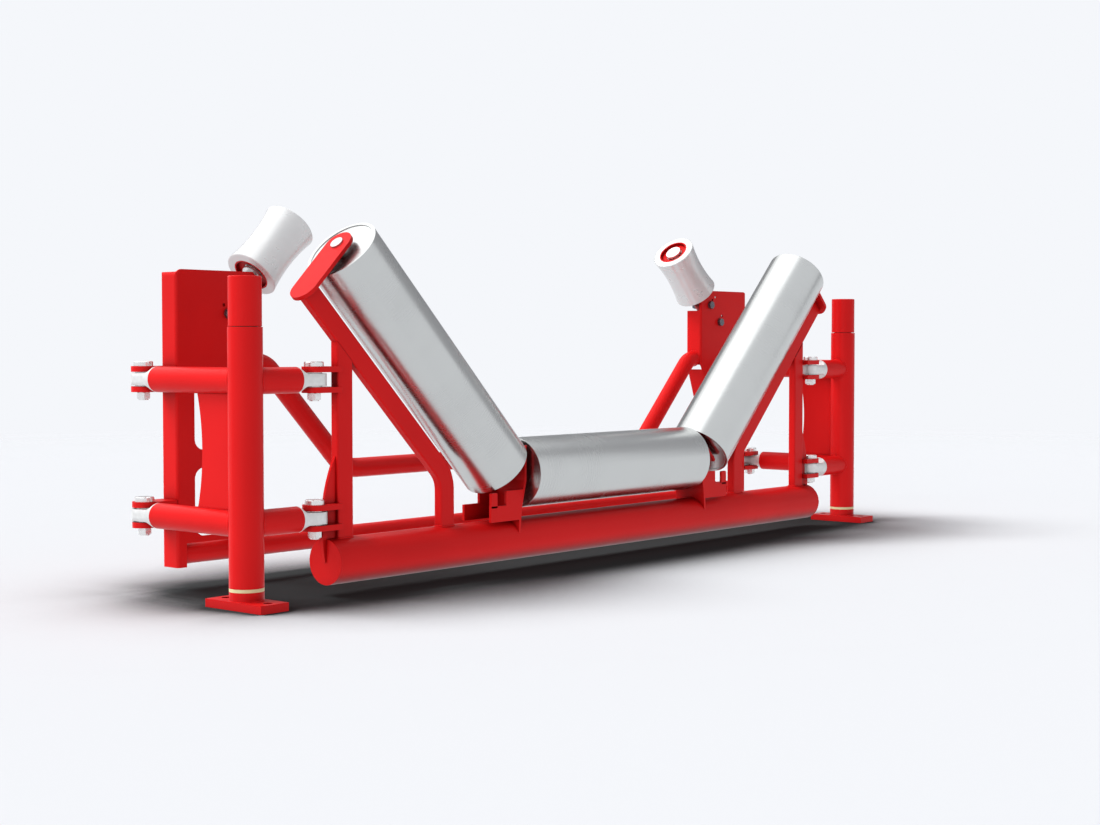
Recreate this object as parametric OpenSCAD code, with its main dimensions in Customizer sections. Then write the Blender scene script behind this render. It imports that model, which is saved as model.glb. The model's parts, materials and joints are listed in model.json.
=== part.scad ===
// Self-aligning troughing idler set. X runs along the rollers, Y along the belt
// travel, Z up. The origin is on the floor, midway between the two stands.

/* [Stands] */
// Distance between the two swivel posts
post_pitch = 2700; // [2600:10:2900]
// Foot plate length along the belt
foot_len = 200; // [180:5:260]
// Foot plate width
foot_w = 84; // [84:2:120]
// Foot plate thickness
foot_t = 20; // [12:1:30]
// Diameter of the holding-down holes
foot_hole_d = 22; // [14:1:26]
// Distance between the two holes of a foot
foot_hole_pitch = 150; // [140:2:156]
// Height of the stub under the thrust ring
stub_h = 22; // [10:1:40]
// Thickness of the plastic thrust ring
ring_t = 8; // [5:1:15]
// Diameter of the fixed spindle inside the post
spindle_d = 60; // [50:1:62]
// Diameter of the retaining cap on the post
cap_d = 79; // [70:0.5:82]
// Height of the retaining cap
cap_h = 117; // [60:1:160]
// Thickness of the top of the cap
cap_top_t = 10; // [5:1:20]
// Visible seam between the sleeve and the cap
seam_gap = 1.5; // [0.8:0.1:3]

/* [Swivel cranks] */
// Outside diameter of the swivel sleeve
sleeve_d = 82.5; // [82.5:0.5:90]
// Wall of the swivel sleeve
sleeve_wall = 6.3; // [4:0.1:8]
// Height of the swivel sleeve
sleeve_h = 610; // [580:1:660]
// Length of each bush inside the sleeve
bush_len = 60; // [30:1:90]
// Height of the lower arms
low_z = 198; // [180:1:220]
// Height of the upper arms
high_z = 534; // [500:1:560]
// Outside diameter of the arms
arm_d = 63.5; // [55:0.5:70]
// Wall of the arms
arm_wall = 4; // [3:0.1:6]
// Post axis to front pivot
front_reach = 214; // [190:1:240]
// Post axis to rear pivot
rear_reach = 387; // [360:1:420]
// Pivot to the end of the arm tube
yoke_len = 59; // [55:1:70]
// Thickness of the yoke tongue
tongue_t = 30; // [24:1:32]
// End radius of the yoke tongue
tongue_r = 31; // [28:0.5:34]
// Length of the yoke spigot inside the arm
spigot_len = 40; // [20:1:60]
// Thickness of the web plate between the rear arms
web_t = 8; // [5:1:12]
// Post axis to the free edge of the web plate
web_reach = 172; // [140:1:200]
// Depth of the curve in the free edge of the web plate
web_curve = 17; // [5:1:30]

/* [Pivots] */
// Diameter of the pivot bolts
pin_d = 24; // [18:1:28]
// Diameter of the bolt heads
head_d = 48; // [40:1:56]
// Height of the bolt heads
head_h = 12; // [8:1:16]
// Width of the nuts across the flats
nut_af = 30; // [28:1:36]
// Height of the nuts
nut_h = 17; // [12:1:22]
// Thickness of the clevis plates
lug_t = 14; // [10:1:18]
// Space between the plates of a clevis
lug_gap = 36; // [34:1:42]
// Width of the clevis plates
lug_w = 60; // [56:1:66]
// Thickness of the spacer rings beside the tongue
spacer_t = 2.8; // [1:0.1:2.9]
// Outside diameter of the spacer rings
spacer_d = 40; // [34:1:46]
// Extra length of the front yoke eyes, for the swing of the frame
eye_run = 4.5; // [4:0.5:8]

/* [Front frame] */
// Outside diameter of the cross tube
beam_d = 114.3; // [108:0.1:120]
// Wall of the cross tube
beam_wall = 8; // [5:0.5:12]
// Length of the cross tube with its end discs
beam_len = 2204; // [2180:2:2260]
// Thickness of the end discs
beam_cap_t = 6; // [4:1:10]
// Height of the cross tube axis
beam_z = 86; // [75:1:90]
// Wide side of the rectangular tubes
bar_w = 52; // [44:1:56]
// Narrow side of the rectangular tubes
bar_t = 26; // [22:1:34]
// Wall of the rectangular tubes
bar_wall = 3; // [2:0.5:5]
// Outside corner radius of the rectangular tubes
bar_corner = 5; // [4:0.5:8]
// Distance of the uprights from the middle
upright_x = 1044; // [1020:1:1060]
// Distance of the inner risers from the middle
riser_x = 679; // [660:1:720]
// Inside bend radius of the wing supports
riser_bend = 60; // [40:1:90]
// Wing roller axis to wing support axis
bar_drop = 153; // [150:1:170]
// Radius of the ends of the shaft plates
plate_r = 40; // [36:1:46]
// Thickness of the shaft plates
plate_t = 10; // [6:1:14]
// Gap between a roller and the shaft plate
plate_gap = 10; // [8:1:20]
// Thickness of the stiffener at the lower clevis
stay_t = 8; // [5:1:12]
// Reach of the stiffener from the upright
stay_w = 44; // [36:1:46]
// Height of the stiffener above the underside of the lower clevis
stay_rise = 180; // [120:1:220]

/* [Rollers] */
// Diameter of the three carrying rollers
roller_d = 194; // [178:1:200]
// Length of the roller shells
roller_len = 800; // [790:1:810]
// Wall of the roller shells
shell_wall = 8; // [5:0.5:10]
// Trough angle of the wing rollers
trough = 45; // [44:0.5:46]
// Height of the centre roller axis
centre_z = 267; // [264:1:275]
// Distance from the end of the centre roller to the inner end of a wing roller
wing_step = 78; // [76:1:90]
// Height of the inner end of a wing roller axis
wing_z = 288; // [284:1:292]
// Diameter of the roller shafts
shaft_d = 40; // [35:1:45]
// Diameter of the shaft ends in their plates
journal_d = 34; // [25:1:36]
// Outside diameter of the roller bearings
bearing_d = 90; // [80:1:100]
// Width of the roller bearings
bearing_w = 23; // [16:1:28]
// Depth of the end discs inside the shell
end_recess = 2; // [1:1:12]
// Thickness of the end discs
end_t = 6; // [4:0.5:10]

/* [Centre brackets] */
// Width of the bracket along the belt
bracket_w = 106; // [96:1:110]
// Thickness of the bracket plates
bracket_t = 8; // [6:1:10]
// Reach of the cheeks along the cross tube
bracket_run = 118; // [112:1:130]
// Gap between the centre roller and the bracket
bracket_gap = 9; // [8:1:12]
// How far the foot of the bracket is set back from its top
bracket_lean = 26; // [10:1:30]
// Height of the low end of the cheeks above the cross tube
cheek_low = 43; // [30:1:50]
// Height of the cheeks beside the upright leg above the cross tube
cheek_high = 82; // [60:1:90]
// Length of the low end of the cheeks
cheek_step = 61; // [40:1:70]
// Lower end of the sloping leg, from the wing roller axis
leg_run = 30; // [26:1:40]

/* [Rear frame] */
// Width of the columns
column_w = 280; // [260:1:300]
// Height of the bottom of the columns
column_bottom = 58; // [40:1:70]
// Height of the top of the columns
column_top = 808; // [790:1:812]
// Plate thickness of the columns
column_t = 4; // [3:0.5:6]
// Corner radius at the top of the columns
column_r = 18; // [6:1:24]
// Rear pivot to the side face of the column
lug_reach = 78; // [70:1:90]
// Height at which the column starts to narrow towards its foot
waist_z = 560; // [550:1:566]
// How much narrower the foot of the column is
waist_step = 48; // [30:1:56]
// Narrowing of the column for each millimetre of height
waist_slope = 0.365; // [0.3:0.005:0.45]
// Height at which the flange of the narrow part begins
waist_flange_z = 533; // [500:1:540]
// Height of the top of the inner flange
flange_top = 738; // [720:1:760]
// Width of the corner that reaches down beside the lower tube
corner_w = 28; // [20:1:40]
// Width of the column windows
window_w = 149; // [120:1:160]
// Distance of the column windows from the outer face
window_side = 55; // [40:1:60]
// Height of the column windows
window_h = 173; // [120:1:180]
// Corner radius of the column windows
window_r = 28; // [10:1:40]
// Height of the lower edge of the lower window
window_z = 134; // [125:1:150]
// Bar between the two windows
window_bar = 46; // [40:1:60]
// Outside diameter of the rear tubes
tube_d = 54; // [48:1:57]
// Wall of the rear tubes
tube_wall = 3.2; // [2.5:0.1:5]
// Height of the straight lower tube
lower_z = 90; // [90:1:100]
// Height of the middle of the trough-shaped tube
dip_z = 276; // [260:1:300]
// Height at which the trough-shaped tube meets the columns
rim_z = 570; // [550:1:590]
// Distance of the lower bends from the middle
dip_x = 675; // [640:1:700]
// Distance from the column face to the upper bend
rim_run = 30; // [28:1:45]
// Bend radius of the lower bends, on the tube axis
dip_bend = 110; // [90:1:160]
// Bend radius of the upper bends, on the tube axis
rim_bend = 65; // [55:1:68]

/* [Guide rollers] */
// Largest diameter of the guide rollers
guide_d = 146; // [136:1:156]
// Diameter of the guide rollers at the waist
guide_waist_d = 128; // [118:1:134]
// Length of the guide rollers
guide_len = 191; // [170:1:210]
// Bore of the guide roller sleeves
guide_bore_d = 100; // [90:1:104]
// Lean of the guide rollers towards the belt
guide_lean = 45; // [43:0.5:47]
// Distance of the lower end of a guide roller from the middle
guide_x = 1004; // [1000:1:1012]
// Height of the lower end of a guide roller
guide_z = 802; // [798:1:806]
// Diameter of the guide roller shafts
guide_shaft_d = 30; // [24:1:34]
// Outside diameter of the guide roller bearings
guide_bearing_d = 55; // [50:1:62]
// Width of the guide roller bearings
guide_bearing_w = 13; // [10:1:18]
// Diameter of the round cap on the shaft end
guide_cap_d = 52; // [44:1:54]
// Distance from the guide roller to the first bracket bolt
bolt_first = 62; // [58:1:70]
// Distance between the two bracket bolts
bolt_pitch = 84; // [60:1:90]
// Diameter of the bracket bolts
bolt_d = 16; // [12:1:18]

/* [Hidden] */
$fn = 72;

// Clearances: a shaft in its bore, a seat inside one weldment, a sliding face.
run_fit = 0.05;
seat_fit = 0.1;
face_gap = 0.3;
eye_side = 0.35;
stay_clear = 8;
joint_gap = 0.02;
eps = 1;

red = [0.83, 0.10, 0.11];
steel = [0.72, 0.73, 0.74];
zinc = [0.85, 0.85, 0.84];
cream = [0.88, 0.82, 0.64];
white = [0.93, 0.93, 0.92];

post_x = post_pitch / 2;
stub_top = foot_t + stub_h;
ring_top = stub_top + ring_t;
sleeve_bottom = ring_top + face_gap;
sleeve_top = sleeve_bottom + sleeve_h;
cap_bottom = sleeve_top + seam_gap;
cap_top = cap_bottom + cap_h;
spindle_top = cap_top - cap_top_t;
sleeve_bore = sleeve_d - 2 * sleeve_wall;
arm_bore = arm_d - 2 * arm_wall;
front_pivot_x = post_x - front_reach;
clevis_h = lug_gap + 2 * lug_t;

beam_top = beam_z + beam_d / 2;
upright_face = upright_x + bar_w / 2;
column_face = post_x - lug_reach;
column_in = column_face - column_w;
// The lower tube just fits between the web and the edges of the flanges.
column_depth = tube_d + 2 * column_t;
column_y = rear_reach - column_depth / 2;
column_mid = column_face - column_w / 2;
web_foot = lower_z + tube_d / 2 + seam_gap;

wing_x = roller_len / 2 + wing_step;

// Outward direction of a wing roller and the foot of the perpendicular on the
// wing support, which runs parallel below the roller.
bar_foot_x = wing_x + bar_drop * sin(trough);
bar_foot_z = wing_z - bar_drop * cos(trough);
riser_knee_z = bar_foot_z + (riser_x - bar_foot_x) * tan(trough);
riser_turn = 90 - trough;
riser_r = riser_bend + bar_w / 2;
riser_tangent = riser_r * tan(riser_turn / 2);
riser_knee_run = (riser_x - bar_foot_x) / cos(trough);
bracket_toe = roller_len / 2 + bracket_gap;
plate_near = roller_len + plate_gap;

// The rising part of the trough-shaped tube.
rim_x = column_in - rim_run;
rise = atan2(rim_z - dip_z, rim_x - dip_x);

shell_bore = roller_d - 2 * shell_wall;
guide_bore_r = guide_bore_d / 2;
guide_gap = 10;
cap_t = 8;
block_end = 20;
spare_d = 9;
// Spare holes of the column: across and along the guide roller axis.
spare_holes = [[22, 59], [43, 66], [25, 140]];

module both() {
    children();
    mirror([1, 0, 0]) children();
}

module on_side(side) {
    if (side < 0) mirror([1, 0, 0]) children();
    else children();
}

module ring(d, bore, h) {
    difference() {
        cylinder(d = d, h = h);
        translate([0, 0, -eps]) cylinder(d = bore, h = h + 2 * eps);
    }
}

module rod_x(d, h) { rotate([0, 90, 0]) cylinder(d = d, h = h); }
module rod_y(d, h) { rotate([-90, 0, 0]) cylinder(d = d, h = h); }

module tube_x(d, wall, h) { rotate([0, 90, 0]) ring(d, d - 2 * wall, h); }
module tube_y(d, wall, h) { rotate([-90, 0, 0]) ring(d, d - 2 * wall, h); }

module rounded(w, h, r) {
    square([w - 2 * r, h], center = true);
    square([w, h - 2 * r], center = true);
    for (x = [-1, 1], y = [-1, 1])
        translate([x * (w / 2 - r), y * (h / 2 - r)]) circle(r);
}

// Section of the rectangular tube: wide side along X, narrow side along Y.
module bar_outline() { rounded(bar_w, bar_t, bar_corner); }
module bar_section() {
    difference() {
        bar_outline();
        rounded(bar_w - 2 * bar_wall, bar_t - 2 * bar_wall, bar_corner - bar_wall);
    }
}

// Places its children on a wing roller: Z along the axis outwards from the
// inner end, X square to it, outwards and down.
module on_wing() {
    translate([wing_x, 0, wing_z]) rotate([0, 90 - trough, 0]) children();
}

// Places its children on a guide roller: Z along its axis, up and inwards.
module on_guide() {
    translate([guide_x, rear_reach, guide_z]) rotate([0, -guide_lean, 0]) children();
}

module at_front_pivots() {
    for (z = [low_z, high_z]) translate([front_pivot_x, 0, z]) children();
}

module at_rear_pivots() {
    for (z = [low_z, high_z]) translate([post_x, rear_reach, z]) children();
}

// ---- stands

module foot_plates() {
    color(red) both() translate([post_x, 0, 0]) difference() {
        translate([-foot_w / 2, -foot_len / 2, 0]) cube([foot_w, foot_len, foot_t]);
        for (y = [-1, 1]) translate([0, y * foot_hole_pitch / 2, -eps])
            cylinder(d = foot_hole_d, h = foot_t + 2 * eps);
    }
}

module post_stubs() {
    color(red) both() translate([post_x, 0, foot_t])
        ring(sleeve_d, spindle_d + 2 * seat_fit, stub_h);
}

module thrust_rings() {
    color(cream) both() translate([post_x, 0, stub_top])
        ring(sleeve_d, spindle_d + 2 * seat_fit, ring_t);
}

module spindles() {
    color(steel) both() translate([post_x, 0, foot_t])
        cylinder(d = spindle_d, h = spindle_top - foot_t);
}

module spindle_caps() {
    edge = 2;
    bore = spindle_d + 2 * seat_fit;
    color(red) both() translate([post_x, 0, cap_bottom]) difference() {
        union() {
            cylinder(d = cap_d, h = cap_h - edge);
            translate([0, 0, cap_h - edge])
                cylinder(d1 = cap_d, d2 = cap_d - 2 * edge, h = edge);
        }
        translate([0, 0, -eps]) cylinder(d = bore, h = cap_h - cap_top_t + eps);
    }
}

// ---- swivel cranks, drawn for the right-hand side

module sleeve(side) {
    color(red) on_side(side) translate([post_x, 0, sleeve_bottom])
        ring(sleeve_d, sleeve_bore, sleeve_h);
}

module bushes(side) {
    color(cream) on_side(side) for (z = [sleeve_bottom, sleeve_top - bush_len])
        translate([post_x, 0, z])
            ring(sleeve_bore - 2 * seat_fit, spindle_d + 2 * run_fit, bush_len);
}

module sleeve_solid() {
    translate([post_x, 0, sleeve_bottom]) cylinder(d = sleeve_d, h = sleeve_h);
}

// Everything beyond the mitre between a front arm and a rear arm.
module beyond_mitre(z, turn) {
    translate([post_x, 0, z]) rotate([0, 0, turn]) translate([0, -arm_d, -arm_d])
        cube(2 * arm_d);
}

module front_arms(side) {
    arm_end = front_pivot_x + yoke_len;
    color(red) on_side(side) for (z = [low_z, high_z]) difference() {
        translate([arm_end, 0, z]) tube_x(arm_d, arm_wall, post_x - arm_end);
        sleeve_solid();
        beyond_mitre(z, 45);
    }
}

module rear_arms(side) {
    color(red) on_side(side) for (z = [low_z, high_z]) difference() {
        translate([post_x, 0, z]) tube_y(arm_d, arm_wall, rear_reach - yoke_len);
        sleeve_solid();
        beyond_mitre(z, 225);
    }
}

// Plate between the rear arms, coped to the tubes, with a hollow free edge.
module web(side) {
    free_h = high_z - low_z - arm_d;
    edge_r = (free_h * free_h / 4 + web_curve * web_curve) / (2 * web_curve);
    color(red) on_side(side) difference() {
        translate([post_x - web_t / 2, 0, low_z]) cube([web_t, web_reach, high_z - low_z]);
        sleeve_solid();
        for (z = [low_z, high_z]) translate([post_x, 0, z])
            rod_y(arm_d, web_reach + eps);
        translate([post_x - web_t, web_reach - web_curve + edge_r, (low_z + high_z) / 2])
            rod_x(2 * edge_r, 2 * web_t);
    }
}

// Cast yoke: a spigot in the arm, a hollow neck and a flat tongue. The eye is
// at the origin and the arm comes from -X.
module yoke(eye_d, run) {
    cove = (arm_d - tongue_t) / 2;
    land = 3;
    cove_x = -yoke_len + land + cove;
    difference() {
        union() {
            intersection() {
                translate([-yoke_len, 0, 0]) rod_x(arm_d, yoke_len + tongue_r);
                union() {
                    translate([-yoke_len, -arm_d / 2, -arm_d / 2])
                        cube([land + cove, arm_d, arm_d]);
                    translate([cove_x, -tongue_r, -arm_d / 2])
                        cube([-cove_x, 2 * tongue_r, arm_d]);
                    translate([0, 0, -arm_d / 2]) cylinder(r = tongue_r, h = arm_d);
                }
            }
            translate([-yoke_len - spigot_len, 0, 0])
                rod_x(arm_bore - 2 * seat_fit, spigot_len + eps);
        }
        for (s = [-1, 1]) {
            translate([cove_x, -arm_d / 2, s * arm_d / 2]) rod_y(2 * cove, arm_d);
            translate([cove_x, -arm_d / 2, s > 0 ? tongue_t / 2 : -arm_d / 2 - eps])
                cube([-cove_x + tongue_r + eps, arm_d, cove + eps]);
        }
        translate([0, 0, -tongue_t]) {
            cylinder(d = eye_d, h = 2 * tongue_t);
            if (run > 0) {
                translate([run, 0, 0]) cylinder(d = eye_d, h = 2 * tongue_t);
                translate([0, -eye_d / 2, 0]) cube([run, eye_d, 2 * tongue_t]);
            }
        }
    }
}

module front_yokes(side) {
    color(zinc) on_side(side) at_front_pivots()
        rotate([0, 0, 180]) yoke(pin_d + 2 * eye_side, eye_run);
}

module rear_yokes(side) {
    color(zinc) on_side(side) at_rear_pivots()
        rotate([0, 0, 90]) yoke(pin_d + 2 * run_fit, 0);
}

// ---- pivots

// Headed pin with a threaded end below, and the two rings beside the tongue.
module pivot_bolt() {
    chamfer = 2;
    shank = clevis_h + nut_h + 3;
    translate([0, 0, clevis_h / 2]) {
        cylinder(d = head_d, h = head_h - chamfer);
        translate([0, 0, head_h - chamfer])
            cylinder(d1 = head_d, d2 = head_d - 2 * chamfer, h = chamfer);
        translate([0, 0, -shank]) cylinder(d = pin_d, h = shank);
    }
}

module spacers() {
    for (z = [-lug_gap / 2, lug_gap / 2 - spacer_t]) translate([0, 0, z])
        ring(spacer_d, pin_d + 2 * run_fit, spacer_t);
}

module pivot_nut() {
    translate([0, 0, -clevis_h / 2 - nut_h]) difference() {
        cylinder(d = nut_af / cos(30), h = nut_h, $fn = 6);
        translate([0, 0, -eps]) cylinder(d = pin_d + 2 * run_fit, h = nut_h + 2 * eps);
    }
}

module front_pivot_bolts() {
    color(zinc) both() at_front_pivots() { pivot_bolt(); spacers(); }
}

module front_pivot_nuts() { color(zinc) both() at_front_pivots() pivot_nut(); }

module rear_pivot_bolts() {
    color(zinc) both() at_rear_pivots() { pivot_bolt(); spacers(); }
}

module rear_pivot_nuts() { color(zinc) both() at_rear_pivots() pivot_nut(); }

// Two plates with a round end at the pivot, which run to -X as far as reach.
module clevis(reach) {
    for (z = [-clevis_h / 2, lug_gap / 2]) translate([0, 0, z]) difference() {
        union() {
            cylinder(d = lug_w, h = lug_t);
            translate([-reach, -lug_w / 2, 0]) cube([reach, lug_w, lug_t]);
        }
        translate([0, 0, -eps]) cylinder(d = pin_d + 2 * run_fit, h = lug_t + 2 * eps);
    }
}

// ---- front frame

module beam_solid() {
    translate([-beam_len / 2, 0, beam_z]) rod_x(beam_d, beam_len);
}

module cross_tube() {
    h = beam_len - 2 * beam_cap_t;
    color(red) translate([-h / 2, 0, beam_z]) tube_x(beam_d, beam_wall, h);
}

module cross_tube_discs() {
    color(red) both() translate([beam_len / 2 - beam_cap_t, 0, beam_z])
        rod_x(beam_d, beam_cap_t);
}

// Straight bar under the wing roller, from the bend to the shaft plate.
module wing_bar() {
    start = riser_knee_run + riser_tangent + joint_gap;
    on_wing() translate([bar_drop, 0, start]) linear_extrude(plate_near - start)
        bar_section();
}

module uprights() {
    color(red) both() difference() {
        translate([upright_x, 0, beam_z]) linear_extrude(rim_z)
            bar_section();
        beam_solid();
        on_wing() translate([-rim_z, -bar_t, 0])
            cube([rim_z + bar_drop + bar_w / 2, 2 * bar_t, 2 * roller_len]);
    }
}

module wing_support(side) {
    turn_z = riser_knee_z - riser_tangent;
    color(red) on_side(side) {
        difference() {
            translate([riser_x, 0, beam_z])
                linear_extrude(turn_z - beam_z - joint_gap) bar_section();
            beam_solid();
        }
        translate([riser_x + riser_r, 0, turn_z]) rotate([90, 0, 180])
            rotate_extrude(angle = riser_turn) translate([riser_r, 0]) bar_section();
        wing_bar();
    }
}

// Upright plate with round ends: the roller shaft above, the bar below.
module shaft_plates() {
    color(red) both() on_wing() translate([0, 0, plate_near]) difference() {
        linear_extrude(plate_t) {
            for (x = [0, bar_drop]) translate([x, 0]) circle(plate_r);
            translate([0, -plate_r]) square([bar_drop, 2 * plate_r]);
        }
        translate([0, 0, -eps]) cylinder(d = journal_d + 2 * seat_fit, h = plate_t + 2 * eps);
    }
}

// Stiffener at the lower clevis, from the cross tube up the upright. Its round
// edge is upright at the foot, and a notch keeps it clear of the yoke.
module stay() {
    edge_r = (stay_rise * stay_rise + stay_w * stay_w) / (2 * stay_w);
    foot_z = low_z - clevis_h / 2;
    difference() {
        intersection() {
            translate([upright_face, -stay_t / 2, beam_z])
                cube([stay_w, stay_t, stay_rise + foot_z - beam_z]);
            translate([upright_face + stay_w - edge_r, -stay_t, foot_z])
                rod_y(2 * edge_r, 2 * stay_t);
        }
        beam_solid();
        translate([front_pivot_x - tongue_r - stay_clear, -stay_t, low_z - lug_gap / 2])
            cube([stay_w, 2 * stay_t, lug_gap]);
    }
}

module front_clevises() {
    color(red) both() {
        at_front_pivots() clevis(front_pivot_x - upright_face);
        difference() {
            stay();
            for (z = [-clevis_h / 2, lug_gap / 2])
                translate([upright_face, -lug_w / 2, low_z + z])
                    cube([front_reach, lug_w, lug_t]);
        }
    }
}

// Folded strap across the cross tube: its upright leg holds the centre shaft,
// and its sloping leg comes down again and holds the wing shaft.
function strap_x(z) = lookup(z, [[beam_z, bracket_toe + bracket_lean],
    [centre_z - 95, bracket_toe + bracket_lean - 6], [centre_z - 18, bracket_toe]]);

// Height of a line parallel to the sloping leg, at a distance from the roller.
function slope_z(x, gap) = wing_z - gap * sin(trough)
    - (x - wing_x + gap * cos(trough)) / tan(trough);

module strap_outline() {
    knees = [beam_z, centre_z - 95, centre_z - 18];
    outer = bracket_gap;
    inner = bracket_gap + bracket_t;
    top_x = bracket_toe + bracket_t;
    foot_x = wing_x + leg_run * sin(trough);
    polygon(concat([for (z = knees) [strap_x(z), z]], [
        [bracket_toe, slope_z(bracket_toe, outer)],
        [foot_x - outer * cos(trough), slope_z(foot_x - outer * cos(trough), outer)],
        [foot_x - inner * cos(trough), slope_z(foot_x - inner * cos(trough), inner)],
        [top_x, slope_z(top_x, inner)]],
        [for (z = [knees[2], knees[1], knees[0]]) [strap_x(z) + bracket_t, z]]));
}

// Stepped cheek between the upright leg and the wing support.
module cheek_outline() {
    back = bracket_toe + bracket_lean + bracket_run;
    low = beam_top + cheek_low;
    high = beam_top + cheek_high;
    polygon(concat([for (z = [high, centre_z - 95, beam_top])
        [strap_x(z) + bracket_t / 2, z]], [[back, beam_top], [back, low],
        [back - cheek_step, low], [back - cheek_step, high]]));
}

module centre_bracket(side) {
    color(red) on_side(side) difference() {
        rotate([90, 0, 0]) {
            translate([0, 0, -bracket_w / 2]) linear_extrude(bracket_w) strap_outline();
            for (y = [-bracket_w / 2, bracket_w / 2 - bracket_t]) translate([0, 0, y])
                linear_extrude(bracket_t) cheek_outline();
        }
        beam_solid();
        translate([bracket_toe - eps, 0, centre_z])
            rod_x(journal_d + 2 * seat_fit, bracket_t + 2 * eps);
        on_wing() translate([0, 0, -bracket_gap - bracket_t - eps])
            cylinder(d = journal_d + 2 * seat_fit, h = bracket_t + 2 * eps);
    }
}

// ---- carrying rollers: -1 left wing, 0 centre, 1 right wing

// Z runs along the axis from one end of the shell to the other.
module on_roller(side) {
    if (side == 0) translate([-roller_len / 2, 0, centre_z]) rotate([0, 90, 0]) children();
    else on_side(side) on_wing() children();
}

module at_roller_ends(side) {
    on_roller(side) {
        children();
        translate([0, 0, roller_len]) mirror([0, 0, 1]) children();
    }
}

module roller_shell(side) {
    color(steel) on_roller(side) ring(roller_d, shell_bore, roller_len);
}

// Pressed end disc, closed up to the shaft, with the bearing housing behind it.
module roller_ends(side) {
    seat = bearing_d + 2 * seat_fit;
    color(steel) at_roller_ends(side) translate([0, 0, end_recess]) {
        ring(shell_bore - 2 * seat_fit, shaft_d + 2 * face_gap, end_t);
        translate([0, 0, end_t]) ring(seat + 2 * end_t, seat, bearing_w);
    }
}

module bearing(d, bore, w) {
    groove = w / 6;
    mid = (d + bore) / 4;
    rotate_extrude() difference() {
        translate([bore / 2, 0]) square([(d - bore) / 2, w]);
        for (z = [0, w]) translate([mid, z])
            square([(d - bore) / 6, 2 * groove], center = true);
    }
}

module roller_bearings(side) {
    color(steel) at_roller_ends(side) translate([0, 0, end_recess + end_t])
        bearing(bearing_d, shaft_d + 2 * run_fit, bearing_w);
}

// Turned shaft: thick through the roller, thinner where the plates hold it.
module roller_shaft(side) {
    shoulder = 4;
    inner = bracket_gap + bracket_t;
    outer = side == 0 ? inner : plate_gap + plate_t;
    color(steel) on_roller(side) {
        translate([0, 0, -shoulder]) cylinder(d = shaft_d, h = roller_len + 2 * shoulder);
        translate([0, 0, -inner - shoulder])
            cylinder(d = journal_d, h = roller_len + inner + outer + 2 * shoulder);
    }
}

// ---- rear frame

// Path of the trough-shaped tube: the section follows it in the X-Z plane, in
// pieces that meet with a hair's breadth between them.
module swept_tube() {
    low_run = dip_bend * tan(rise / 2);
    top_run = rim_bend * tan(rise / 2);
    slope = norm([rim_x - dip_x, rim_z - dip_z]) - low_run - top_run;
    flat = dip_x - low_run - joint_gap;
    translate([-flat, rear_reach, dip_z]) rotate([0, 90, 0])
        linear_extrude(2 * flat) children();
    both() translate([0, rear_reach, 0]) {
        translate([dip_x - low_run, 0, dip_z + dip_bend]) rotate([90, 0, 0])
            rotate([0, 0, -90]) bend(dip_bend) children();
        translate([dip_x, 0, dip_z]) rotate([0, 90 - rise, 0])
            translate([0, 0, low_run + joint_gap])
                linear_extrude(slope - 2 * joint_gap) children();
        translate([rim_x + top_run, 0, rim_z - rim_bend]) rotate([90, 0, 0])
            rotate([0, 0, 90]) bend(rim_bend) children();
        translate([rim_x + top_run + joint_gap, 0, rim_z]) rotate([0, 90, 0])
            linear_extrude(column_in - rim_x - top_run - joint_gap) children();
    }
}

module bend(r) { rotate_extrude(angle = rise) translate([r, 0]) children(); }

module tube_section() {
    difference() {
        circle(d = tube_d);
        circle(d = tube_d - 2 * tube_wall);
    }
}

module trough_tube() { color(red) swept_tube() tube_section(); }

module lower_tube() {
    h = 2 * (column_face - column_t);
    color(red) difference() {
        translate([-h / 2, rear_reach, lower_z]) tube_x(tube_d, tube_wall, h);
        // Its ends are ground away where the columns fold
        for (s = [-1, 1])
            translate([s * (column_face - 1.5 * column_t), column_y + 1.5 * column_t, lower_z])
                cube([column_t, column_t, tube_d], center = true);
    }
}

// Channel open to the rear, with rounded folds.
module channel() {
    fold = 2 * column_t;
    translate([column_mid, rear_reach, column_bottom])
        linear_extrude(column_top - column_bottom) difference() {
            rounded(column_w, column_depth, fold);
            rounded(column_w - 2 * column_t, column_depth - 2 * column_t, fold - column_t);
            translate([-column_w / 2 + column_t, 0])
                square([column_w - 2 * column_t, column_depth]);
        }
}

// Inner edge of the column below its wide part.
function waist_x(z) = column_in + min(waist_step, waist_slope * max(0, waist_z - z));

module waist_line(shift, top) {
    low = waist_z - waist_step / waist_slope;
    polygon([[column_in - 2 * eps, top], [waist_x(top) + shift, top],
        [waist_x(low) + shift, low], [waist_x(low) + shift, column_bottom - eps],
        [column_in - 2 * eps, column_bottom - eps]]);
}

module across_column() {
    translate([0, column_y + column_depth + eps, 0]) rotate([90, 0, 0])
        linear_extrude(column_depth + 2 * eps) children();
}

// Flange along the inner edge of the narrow part, down to the lower tube.
module waist_flange() {
    intersection() {
        translate([column_in, column_y, web_foot])
            cube([column_w, column_depth, waist_flange_z - web_foot]);
        across_column() difference() {
            waist_line(column_t, waist_z);
            waist_line(0, waist_z);
        }
    }
}

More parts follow.
